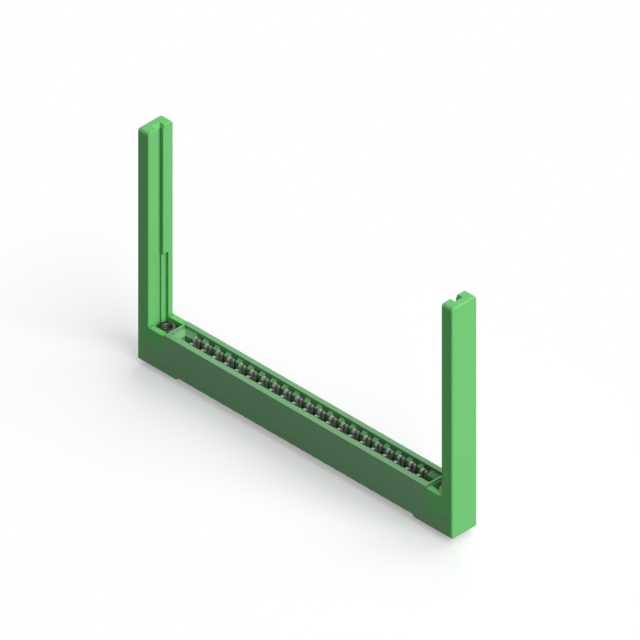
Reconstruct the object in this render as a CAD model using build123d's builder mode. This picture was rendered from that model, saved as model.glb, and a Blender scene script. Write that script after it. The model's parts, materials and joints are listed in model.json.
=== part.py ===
from build123d import *
import os

# Card edge connector with tall card guides, in millimetres. The origin is the centre of the board seat, the
# plane of the feet. X runs along the contacts, Y from the front to the back, and the card goes in down Z.

# Contact field
positions = 21
pitch = 3.962
row_spacing = 3.556

# The printed card that the connector takes
card_thickness = 1.57
slot_clearance = 0.13
groove_clearance = 0.13

# Housing, from the card slot outwards
mouth_width = 5.2
side_wall = 1.718
slot_margin = 5.48
rim_end_wall = 0.55
partition = 0.85
rib_gap = 2.8
pocket_length = 5.15
pocket_width = 5.3
guide_thickness = 3.85

# Heights above the board seat
rim_height = 11.3
end_height = 10.85
card_stop = 3.4
cavity_floor = 2.6
pocket_floor = 4.0
socket_floor = 1.6
recess_top = 30.4
guide_height = 69.3

# Feet at both ends lift the middle of the housing off the board
foot_length = 13.6
standoff = 0.68

# The mouth drops by a step and then slopes in to the card slot on all four sides
mouth_step = 0.64
lead_in = 0.89

# Card groove, its flared entry and the wider recess at the foot of each guide
groove_depth = 1.1
recess_depth = 0.7
flare_depth = 1.75
flare_width = 2.7
flare_length = 1.0

# Rounded edges, and how near an edge or face lies to the place that it is picked by
near = 0.01
corner_radius = 0.45
inner_corner_radius = 0.3
crown_radius = 1.0
back_rim_radius = 0.4

# Contacts, stamped from strip and split into two prongs
strip = 0.3
blade_width = 1.9
blade_clearance = 0.245
leg_width = 1.4
slit = 0.16
prong_root = 0.8
high_apex_drop = 2.6
low_apex_drop = 4.9
hook_drop = 0.9
high_hook_offset = 0.5
low_hook_offset = 1.25
tip_offset = 1.7
preload = 0.5
tail_length = 1.8
tail_point = 0.5
tail_tip_width = 0.8
leg_clearance = 0.02
high_hook_radius = 0.9
low_hook_rise = 0.45

# Threaded inserts, which screws from below the board pull down on their sockets
insert_diameter = 4.3
insert_drop = 0.65
insert_offset = 0.35
insert_clearance = 0.02
insert_chamfer = 0.25
thread_bore = 2.385
screw_hole = 2.95

depth = mouth_width + 2 * side_wall
slot_width = card_thickness + slot_clearance
groove_width = card_thickness + groove_clearance
cavity_width = blade_width + 2 * blade_clearance

# Distances from the middle along X
mouth_end = (positions - 1) / 2 * pitch + slot_margin
slot_end = mouth_end - (mouth_width - slot_width) / 2
rim_end = mouth_end + rim_end_wall
pocket_start = mouth_end + partition
guide_face = pocket_start + pocket_length
end = guide_face + guide_thickness
insert_place = pocket_start + pocket_length / 2 + insert_offset

ledge_height = rim_height - mouth_step
throat_height = ledge_height - lead_in
leg_offset = row_spacing / 2

with BuildPart() as housing:
    # Body, feet and guides share one front view
    with BuildSketch(Plane.XZ):
        with BuildLine():
            Polyline(
                (0, standoff),
                (end - foot_length, standoff),
                (end - foot_length, 0),
                (end, 0),
                (end, guide_height),
                (guide_face, guide_height),
                (guide_face, end_height),
                (rim_end, end_height),
                (rim_end, rim_height),
                (0, rim_height),
            )
            mirror(about=Plane.YZ)
        make_face()
    extrude(amount=depth / 2, both=True)

    # Rounded crowns of the guides, outer end faces and back edge of the rim
    crowns = housing.edges().filter_by(Axis.X).group_by(Axis.Z)[-1]
    fillet(crowns, radius=crown_radius)
    for face in (housing.faces().sort_by(Axis.X)[0], housing.faces().sort_by(Axis.X)[-1]):
        fillet(face.edges().filter_by(lambda edge: edge.center().Z > standoff / 2), radius=corner_radius)
    rim = housing.faces().filter_by(Axis.Z).filter_by_position(Axis.Z, rim_height - near, rim_height + near)
    fillet(rim.edges().filter_by(Axis.X).sort_by(Axis.Y)[-1], radius=back_rim_radius)

    # Inner corners of the guides, seen from above
    inner_corners = housing.edges().filter_by(Axis.Z).filter_by(
        lambda edge: abs(abs(edge.center().X) - guide_face) < near and edge.center().Z > end_height)
    fillet(inner_corners, radius=inner_corner_radius)

    # Mouth, its sloping lead-in with mitred corners, and the card slot
    with BuildSketch(Plane.XY.offset(rim_height)):
        Rectangle(2 * mouth_end, mouth_width)
    extrude(amount=-mouth_step, mode=Mode.SUBTRACT)
    with BuildSketch(Plane.XY.offset(ledge_height)):
        Rectangle(2 * mouth_end, mouth_width)
    with BuildSketch(Plane.XY.offset(throat_height)):
        Rectangle(2 * slot_end, slot_width)
    loft(mode=Mode.SUBTRACT)
    with BuildSketch(Plane.XY.offset(card_stop)):
        Rectangle(2 * slot_end, slot_width)
    extrude(amount=throat_height - card_stop, mode=Mode.SUBTRACT)

    # Space between the two rows of ribs, wider than the slot at both ends
    with BuildSketch(Plane.XY.offset(card_stop)):
        Rectangle((positions - 1) * pitch + cavity_width, rib_gap)
    extrude(amount=ledge_height - card_stop, mode=Mode.SUBTRACT)

    # Contact cavities, which leave a rib between neighbours
    with BuildSketch(Plane.XY.offset(cavity_floor)):
        with GridLocations(pitch, 0, positions, 1):
            Rectangle(cavity_width, mouth_width)
    extrude(amount=ledge_height - cavity_floor, mode=Mode.SUBTRACT)

    # Slots in the floor, which grip the edges of the legs
    with BuildSketch(Plane.XY):
        with GridLocations(pitch, row_spacing, positions, 2):
            Rectangle(leg_width, strip + 2 * leg_clearance)
    extrude(amount=cavity_floor, mode=Mode.SUBTRACT)

    # Pocket, insert socket and screw hole at the foot of each guide
    with BuildSketch(Plane.XY.offset(pocket_floor)):
        with GridLocations(2 * pocket_start + pocket_length, 0, 2, 1):
            Rectangle(pocket_length, pocket_width)
    extrude(amount=end_height - pocket_floor, mode=Mode.SUBTRACT)
    with BuildSketch(Plane.XY.offset(socket_floor)):
        with GridLocations(2 * insert_place, 0, 2, 1):
            Circle(insert_diameter / 2 + insert_clearance)
    extrude(amount=pocket_floor - socket_floor, mode=Mode.SUBTRACT)
    with BuildSketch(Plane.XY):
        with GridLocations(2 * insert_place, 0, 2, 1):
            Circle(screw_hole / 2)
    extrude(amount=socket_floor, mode=Mode.SUBTRACT)

    # Recess and card groove in the inner face of each guide
    with BuildSketch(Plane.XY.offset(pocket_floor)):
        with GridLocations(2 * guide_face + recess_depth, 0, 2, 1):
            Rectangle(recess_depth, pocket_width)
    extrude(amount=recess_top - pocket_floor, mode=Mode.SUBTRACT)
    with BuildSketch(Plane.XY.offset(pocket_floor)):
        with GridLocations(2 * guide_face + groove_depth, 0, 2, 1):
            Rectangle(groove_depth, groove_width)
    extrude(amount=guide_height - pocket_floor, mode=Mode.SUBTRACT)

    # Flared entry of the groove
    for side in (-1, 1):
        with BuildSketch(Plane.XY.offset(guide_height)):
            with Locations((side * (guide_face + flare_depth / 2), 0)):
                Rectangle(flare_depth, flare_width)
        with BuildSketch(Plane.XY.offset(guide_height - flare_length)):
            with Locations((side * (guide_face + groove_depth / 2), 0)):
                Rectangle(groove_depth, groove_width)
        loft(mode=Mode.SUBTRACT)

# Back row contact at the middle of its row. Both prongs start from one leg, bow in to the card at
# different heights, the left one high and the right one low, and hook back at the top.
contact_face = card_thickness / 2 - preload + strip / 2
hook_height = rim_height - hook_drop

with BuildPart() as contact:
    for side, apex_drop, hook_offset, hook_rise, hook_radius in (
        (-1, high_apex_drop, high_hook_offset, 0, high_hook_radius),
        (1, low_apex_drop, low_hook_offset, low_hook_rise, 0),
    ):
        with BuildSketch(Plane.YZ):
            with BuildLine():
                FilletPolyline(
                    (leg_offset, -tail_length),
                    (leg_offset, cavity_floor + prong_root),
                    (contact_face, rim_height - apex_drop),
                    (hook_offset, hook_height - hook_rise),
                    (tip_offset, hook_height),
                    radius=[0, 0, hook_radius],
                )
            trace(line_width=strip)
        extrude(amount=side * blade_width / 2)

    # The flat blank: pointed tail, leg, shoulders that seat on the cavity floor, and the slit
    with BuildSketch(Plane.XZ):
        with BuildLine():
            Polyline(
                (0, -tail_length),
                (tail_tip_width / 2, -tail_length),
                (leg_width / 2, tail_point - tail_length),
                (leg_width / 2, cavity_floor),
                (blade_width / 2, cavity_floor),
                (blade_width / 2, rim_height),
                (slit / 2, rim_height),
                (slit / 2, cavity_floor + prong_root),
                (0, cavity_floor + prong_root),
            )
            mirror(about=Plane.YZ)
        make_face()
    extrude(amount=depth / 2, both=True, mode=Mode.INTERSECT)

with BuildPart() as insert:
    insert_top = end_height - insert_drop
    with BuildSketch(Plane.XY.offset(socket_floor)):
        Circle(insert_diameter / 2)
        Circle(thread_bore / 2, mode=Mode.SUBTRACT)
    extrude(amount=insert_top - socket_floor)
    chamfer(insert.edges().group_by(Axis.Z)[-1].sort_by(SortBy.RADIUS)[0], length=insert_chamfer)

pieces = {"housing": housing.part}
for row, turn in (("back", 0), ("front", 180)):
    for number, place in enumerate(GridLocations(pitch, 0, positions, 1), start=1):
        pieces[f"contact_{row}_{number:02d}"] = contact.part.moved(place * Rotation(0, 0, turn))
for side, place in (("left", -insert_place), ("right", insert_place)):
    pieces[f"insert_{side}"] = insert.part.moved(Location((place, 0, 0)))

os.makedirs("parts", exist_ok=True)
for name, piece in pieces.items():
    piece.label = name
    export_step(piece, f"parts/{name}.step")
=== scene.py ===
"""Card edge connector with tall card guides: finishes, insert threads, floor, light and camera."""

import json
import math

import bmesh
import bpy
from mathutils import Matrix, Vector


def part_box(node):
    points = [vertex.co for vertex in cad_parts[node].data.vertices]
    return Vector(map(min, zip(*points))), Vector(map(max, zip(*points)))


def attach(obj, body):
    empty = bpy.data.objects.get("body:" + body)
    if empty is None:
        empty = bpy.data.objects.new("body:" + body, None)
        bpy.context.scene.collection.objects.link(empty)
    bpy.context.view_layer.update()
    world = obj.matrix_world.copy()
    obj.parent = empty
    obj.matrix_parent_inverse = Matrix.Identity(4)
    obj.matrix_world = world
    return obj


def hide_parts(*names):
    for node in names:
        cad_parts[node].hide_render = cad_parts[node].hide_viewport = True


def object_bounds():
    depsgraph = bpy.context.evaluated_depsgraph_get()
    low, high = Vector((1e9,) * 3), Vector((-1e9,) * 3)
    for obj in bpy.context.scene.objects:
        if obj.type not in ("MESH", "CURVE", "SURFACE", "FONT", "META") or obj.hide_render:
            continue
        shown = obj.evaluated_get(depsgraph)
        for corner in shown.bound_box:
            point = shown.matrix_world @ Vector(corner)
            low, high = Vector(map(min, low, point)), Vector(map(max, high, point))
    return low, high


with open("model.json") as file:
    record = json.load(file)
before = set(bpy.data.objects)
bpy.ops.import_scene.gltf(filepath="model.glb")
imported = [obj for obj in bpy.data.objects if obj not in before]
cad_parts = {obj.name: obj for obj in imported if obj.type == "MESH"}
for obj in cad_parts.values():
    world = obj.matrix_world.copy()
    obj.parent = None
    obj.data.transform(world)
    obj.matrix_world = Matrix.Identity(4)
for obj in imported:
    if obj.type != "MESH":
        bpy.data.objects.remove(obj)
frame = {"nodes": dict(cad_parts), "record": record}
cad_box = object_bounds()

MM = 0.001

# Camera: isometric and without perspective, as in the photograph
CAMERA_AIM = Vector((0.15, 4.32, 34.5)) * MM
CAMERA_SIDE = Vector((1, -1, 1)).normalized()
CAMERA_WIDTH = 157.94 * MM
CAMERA_DISTANCE = 0.6

# Inserts: a screw thread with 40 turns to the inch
THREAD_PITCH = 0.635 * MM
THREAD_DEPTH = 0.19 * MM
BORE_CHAMFER = 0.25 * MM
EDGE_BREAK = 0.12 * MM
TURN_STEPS = 64
SHARP_ANGLE = math.radians(28)

# The thread's profile in shares of its pitch: from the chamfer to the first crest, and the width of a flank
THREAD_LEAD = 0.35
THREAD_FLANK = 0.30

# The guides' own moulding: it starts beside the rim, stands on the connector's ears and covers their ends
GUIDE_START = 45.65 * MM
GUIDE_UNDERSIDE = 5.5 * MM
GUIDE_SKIRT = 53.3 * MM
SEAM_WIDTH = 0.12 * MM

# Painted shade in gaps: the plastic turns dark green where its view is closed in; how far the walls that
# close it reach, and the open share of the view when fully dark and when clear
GAP_REACH = 1.2 * MM
GAP_DARK = 0.40
GAP_CLEAR = 0.85

# Two tones of each finish, between which the surface varies, and the one dark green painted as shade in gaps
MATT_GREENS = (0.157, 0.548, 0.166, 1), (0.183, 0.602, 0.194, 1)
SHINY_GREENS = (0.134, 0.362, 0.147, 1), (0.158, 0.402, 0.171, 1)
GAP_PAINTED_SHADE_GREEN = (0.035, 0.235, 0.045, 1)
STRIP_GREYS = (0.200, 0.224, 0.192, 1), (0.305, 0.332, 0.290, 1)
# The turned browns are far darker than the bare alloy: painted shade of the pockets round the inserts
TURNED_PAINTED_SHADE_BROWNS = (0.055, 0.050, 0.040, 1), (0.125, 0.112, 0.090, 1)

# Relief of the surfaces, in depth, and the rounding of the moulded edges
PLASTIC_GRAIN = 0.012 * MM
STRIP_GRAIN = 0.004 * MM
TURNED_GRAIN = 0.006 * MM
MOULDED_EDGE = 0.12 * MM

# Light: a large lamp on the right, a wider and weaker one high behind, a dim room and a pale floor
RIGHT_LAMP = {"side": (1.0, -0.10, 0.6), "size": 2.0, "power": 46.4}
BACK_LAMP = {"side": (-0.1, 0.9, 1.0), "size": 2.8, "power": 29.6}
LAMP_DISTANCE = 2.0
ROOM_LIGHT = 0.10
FLOOR_HALF = 3.0
FLOOR_BOUNCE = 0.12
FLOOR_WHITE = 0.72
FLOOR_GLOW = 0.32

# The shadow on the floor fades to plain white with the distance from a line under the part
SHADOW_SPINE = 50 * MM
SHADOW_FADES = 15 * MM
SHADOW_ENDS = 75 * MM


class Value:
    """A number from a shader socket, which takes part in plain sums."""

    def __init__(self, finish, socket):
        self.finish = finish
        self.socket = socket

    def sum(self, operation, first, second):
        return self.finish.add("Math", {"operation": operation}, {0: first, 1: second})

    def __add__(self, other):
        return self.sum("ADD", self, other)

    def __radd__(self, other):
        return self.sum("ADD", other, self)

    def __sub__(self, other):
        return self.sum("SUBTRACT", self, other)

    def __rsub__(self, other):
        return self.sum("SUBTRACT", other, self)

    def __mul__(self, other):
        return self.sum("MULTIPLY", self, other)

    def __rmul__(self, other):
        return self.sum("MULTIPLY", other, self)

    def __gt__(self, other):
        return self.sum("GREATER_THAN", self, other)

    def __abs__(self):
        return self.finish.add("Math", {"operation": "ABSOLUTE"}, {0: self})


class Finish:
    """The node tree of a material or of the world, and the one way its nodes are added."""

    def __init__(self, owner):
        owner.use_nodes = True
        self.tree = owner.node_tree
        self.tree.nodes.clear()

    def add(self, kind, settings=None, sockets=None, output=0):
        node = self.tree.nodes.new("ShaderNode" + kind)
        for name, value in (settings or {}).items():
            setattr(node, name, value)
        for name, value in (sockets or {}).items():
            socket = self.socket(node, name)
            if isinstance(value, Value):
                self.tree.links.new(value.socket, socket)
            else:
                socket.default_value = value
        return Value(self, node.outputs[output]) if node.outputs else node

    def socket(self, node, name):
        if isinstance(name, int):
            return node.inputs[name]
        return next(socket for socket in node.inputs if socket.enabled and socket.name == name)

    def place(self):
        return self.add("TexCoord", output="Object")

    def stretched(self, place, scale):
        return self.add("Mapping", {}, {"Vector": place, "Scale": scale})

    def noise(self, place, scale, detail=2.0):
        return self.add("TexNoise", {}, {"Vector": place, "Scale": scale, "Detail": detail})

    def along(self, place, axis):
        return self.add("SeparateXYZ", {}, {"Vector": place}, axis)

    def hairline(self, value, middle):
        """1 on a line where a length has its middle value, and 0 from half a line's width away."""
        return self.positive(1 - abs(value - middle) * (2 / SEAM_WIDTH))

    def positive(self, value):
        return self.add("Math", {"operation": "MAXIMUM"}, {0: value, 1: 0.0})

    def blend(self, factor, low, high):
        return self.add("Mix", {"data_type": "RGBA"}, {"Factor": factor, "A": low, "B": high}, 2)

    def mix(self, factor, low, high):
        return self.add("MixShader", {}, {0: factor, 1: low, 2: high})

    def background_rays(self):
        """1 for the camera, and for what metal and glass show of their surroundings."""
        camera = self.add("LightPath", output="Is Camera Ray")
        glossy = self.add("LightPath", output="Is Glossy Ray")
        transmission = self.add("LightPath", output="Is Transmission Ray")
        return camera + glossy + transmission


def moulded_green():
    """Two moulded greens, matt card guides and the shinier connector between and under them, with painted
    shade in gaps.
    """
    material = bpy.data.materials.new("moulded_green")
    finish = Finish(material)
    place = finish.place()
    reach = abs(finish.along(place, "X"))
    height = finish.along(place, "Z")
    foot = (reach > GUIDE_START) * (height > GUIDE_UNDERSIDE)
    skirt = reach > GUIDE_SKIRT
    guide = foot + skirt - foot * skirt

    seam = (
        finish.hairline(reach, GUIDE_START) * (height > GUIDE_UNDERSIDE)
        + finish.hairline(height, GUIDE_UNDERSIDE) * (reach > GUIDE_START) * (1 - skirt)
        + finish.hairline(reach, GUIDE_SKIRT) * (1 - foot))

    cloud = finish.noise(place, 90.0, 3.0)
    grain = finish.noise(place, 5200.0)
    flow = finish.noise(finish.stretched(place, (60.0, 60.0, 14.0)), 1.0, 3.0)
    tone = cloud * 0.5 + flow * 0.5
    edge = finish.add("Bevel", {"samples": 6}, {"Radius": MOULDED_EDGE})
    surface = finish.add("Bump", {}, {
        "Strength": 0.35,
        "Distance": PLASTIC_GRAIN,
        "Height": grain - seam * 3,
        "Normal": edge,
    })

    matt = finish.add("BsdfPrincipled", {}, {
        "Base Color": finish.blend(tone, *MATT_GREENS),
        "Roughness": 0.50 + grain * 0.10,
        "Normal": surface,
        "Specular IOR Level": 0.1,
    })
    shiny = finish.add("BsdfPrincipled", {}, {
        "Base Color": finish.blend(tone, *SHINY_GREENS),
        "Roughness": 0.34 + grain * 0.10,
        "Normal": surface,
        "Specular IOR Level": 0.28,
    })
    # Painted shade: a flat dark green that stands in for the shade in gaps and crevices
    painted_shade = finish.add("BsdfPrincipled", {}, {
        "Base Color": GAP_PAINTED_SHADE_GREEN,
        "Roughness": 0.8,
        "Normal": surface,
        "Specular IOR Level": 0.0,
    })

    # The less open a point is to its surroundings, the more of the painted shade it gets
    openness = finish.add(
        "AmbientOcclusion", {"samples": 8, "only_local": True}, {"Distance": GAP_REACH}, "AO")
    clear = finish.add("MapRange", {}, {"Value": openness, "From Min": GAP_DARK, "From Max": GAP_CLEAR})
    green = finish.mix(guide, shiny, matt)
    finish.add("OutputMaterial", {}, {"Surface": finish.mix(clear, painted_shade, green)})
    return material


def plated_strip():
    """Thin plated strip, rolled along its length."""
    material = bpy.data.materials.new("plated_strip")
    finish = Finish(material)
    place = finish.place()
    rolled = finish.noise(finish.stretched(place, (9000.0, 9000.0, 500.0)), 1.0)
    patches = finish.noise(place, 700.0)
    surface = finish.add("Bump", {}, {"Strength": 0.25, "Distance": STRIP_GRAIN, "Height": rolled})
    shader = finish.add("BsdfPrincipled", {}, {
        "Base Color": finish.blend(patches, *STRIP_GREYS),
        "Metallic": 0.55,
        "Roughness": 0.42 + rolled * 0.14,
        "Normal": surface,
    })
    finish.add("OutputMaterial", {}, {"Surface": shader})
    return material


def turned_metal():
    """Turned copper alloy, with fine rings round the axis of each insert, coloured dark as painted shade of
    the pockets they sit in.
    """
    material = bpy.data.materials.new("turned_metal")
    finish = Finish(material)
    place = finish.place()
    rings = finish.noise(finish.stretched(place, (400.0, 400.0, 14000.0)), 1.0)
    patches = finish.noise(place, 900.0, 3.0)
    surface = finish.add("Bump", {}, {"Strength": 0.3, "Distance": TURNED_GRAIN, "Height": rings})
    shader = finish.add("BsdfPrincipled", {}, {
        "Base Color": finish.blend(patches, *TURNED_PAINTED_SHADE_BROWNS),
        "Metallic": 0.95,
        "Roughness": 0.30 + patches * 0.14,
        "Normal": surface,
    })
    finish.add("OutputMaterial", {}, {"Surface": shader})
    return material


def pale_floor():
    """White floor, with a soft shadow round the part, which throws little light back up on the part."""
    material = bpy.data.materials.new("pale_floor")
    finish = Finish(material)
    dull = finish.add("BsdfDiffuse", {}, {"Color": (FLOOR_BOUNCE, FLOOR_BOUNCE, FLOOR_BOUNCE, 1)})
    lit = finish.add("BsdfDiffuse", {}, {"Color": (FLOOR_WHITE, FLOOR_WHITE, FLOOR_WHITE, 1)})
    glow = finish.add("Emission", {}, {"Color": (1, 1, 1, 1), "Strength": FLOOR_GLOW})
    white = finish.add("AddShader", {}, {0: lit, 1: glow})
    plain = finish.add("Emission", {}, {"Color": (1, 1, 1, 1), "Strength": 1.0})

    place = finish.place()
    beyond = finish.positive(abs(finish.along(place, "X")) - SHADOW_SPINE)
    away = finish.add("CombineXYZ", {}, {"X": beyond, "Y": finish.along(place, "Y")})
    distance = finish.add("VectorMath", {"operation": "LENGTH"}, {0: away}, "Value")
    fade = finish.add("MapRange", {}, {"Value": distance, "From Min": SHADOW_FADES, "From Max": SHADOW_ENDS})
    seen = finish.mix(fade, white, plain)
    finish.add("OutputMaterial", {}, {"Surface": finish.mix(finish.background_rays(), dull, seen)})
    return material


def threaded_insert(name, node, material):
    """The insert with its rounded rim, the chamfer of its bore and a cut thread down the bore."""
    low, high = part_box(node)
    centre = (low + high) / 2
    top, bottom = high.z, low.z
    rim = (high.x - low.x) / 2
    bore = bore_radius(node)
    outline = [
        (bore, bottom),
        (rim, bottom),
        (rim, top - EDGE_BREAK),
        (rim - EDGE_BREAK, top),
        (bore + BORE_CHAMFER, top),
        (bore, top - BORE_CHAMFER),
    ]
    for turn in range(int((top - BORE_CHAMFER - bottom) / THREAD_PITCH)):
        crest = top - BORE_CHAMFER - (turn + THREAD_LEAD) * THREAD_PITCH
        outline.append((bore, crest))
        outline.append((bore + THREAD_DEPTH, crest - THREAD_FLANK * THREAD_PITCH))
        outline.append((bore, crest - 2 * THREAD_FLANK * THREAD_PITCH))
    shape = bmesh.new()
    corners = [shape.verts.new((radius, 0, height)) for radius, height in outline]
    edges = [shape.edges.new(ends) for ends in zip(corners, corners[1:] + corners[:1])]
    bmesh.ops.spin(
        shape, geom=corners + edges, cent=(0, 0, 0), axis=(0, 0, 1), dvec=(0, 0, 0),
        angle=math.tau, steps=TURN_STEPS, use_merge=True, use_duplicate=False)
    bmesh.ops.remove_doubles(shape, verts=shape.verts, dist=1e-7)
    bmesh.ops.recalc_face_normals(shape, faces=shape.faces)
    bmesh.ops.translate(shape, vec=(centre.x, centre.y, 0), verts=shape.verts)
    piece = finished(name, shape, material)
    piece.data.shade_smooth()
    piece.data.set_sharp_from_angle(angle=SHARP_ANGLE)
    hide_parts(node)
    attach(piece, "root")


def bore_radius(node):
    name = node.replace("insert", "insert_thread")
    mount = next(mount for mount in frame["record"]["mounts"] if mount["name"] == name)
    return mount["dims"]["r_mm"] * MM


def finished(name, shape, material):
    mesh = bpy.data.meshes.new(name)
    shape.to_mesh(mesh)
    shape.free()
    mesh.materials.append(material)
    piece = bpy.data.objects.new(name, mesh)
    bpy.context.scene.collection.objects.link(piece)
    return piece


def lay_floor(height):
    shape = bmesh.new()
    bmesh.ops.create_grid(shape, x_segments=1, y_segments=1, size=FLOOR_HALF)
    bmesh.ops.translate(shape, vec=(0, 0, height), verts=shape.verts)
    finished("floor", shape, pale_floor())


def light_studio():
    world = bpy.data.worlds.new("studio")
    bpy.context.scene.world = world
    finish = Finish(world)
    room = finish.add("Background", {}, {"Color": (1, 1, 1, 1), "Strength": ROOM_LIGHT})
    white = finish.add("Background", {}, {"Color": (1, 1, 1, 1), "Strength": 1.0})
    finish.add("OutputWorld", {}, {"Surface": finish.mix(finish.background_rays(), room, white)})
    area_lamp("right_lamp", **RIGHT_LAMP)
    area_lamp("back_lamp", **BACK_LAMP)


def area_lamp(name, side, size, power):
    lamp = bpy.data.lights.new(name, "AREA")
    lamp.shape = "DISK"
    lamp.size = size
    lamp.energy = power
    aimed(name, lamp, side, LAMP_DISTANCE)


def set_camera():
    data = bpy.data.cameras.new("camera")
    data.type = "ORTHO"
    data.ortho_scale = CAMERA_WIDTH
    data.clip_start = 0.01
    data.clip_end = 10.0
    bpy.context.scene.camera = aimed("camera", data, CAMERA_SIDE, CAMERA_DISTANCE)


def aimed(name, data, side, distance):
    """A lamp or camera that stands off to a side and looks back at the part."""
    stand = bpy.data.objects.new(name, data)
    bpy.context.scene.collection.objects.link(stand)
    away = Vector(side).normalized()
    stand.location = CAMERA_AIM + away * distance
    stand.rotation_euler = away.to_track_quat("Z", "Y").to_euler()
    return stand


def dress_part():
    green = moulded_green()
    strip = plated_strip()
    for name, node in frame["nodes"].items():
        node.data.materials.clear()
        node.data.materials.append(green if name == "housing" else strip)
    turned = turned_metal()
    threaded_insert("left_threaded_insert", "insert_left", turned)
    threaded_insert("right_threaded_insert", "insert_right", turned)


bpy.context.scene.view_settings.view_transform = "Standard"
set_camera()
lay_floor(cad_box[0].z)
light_studio()
dress_part()
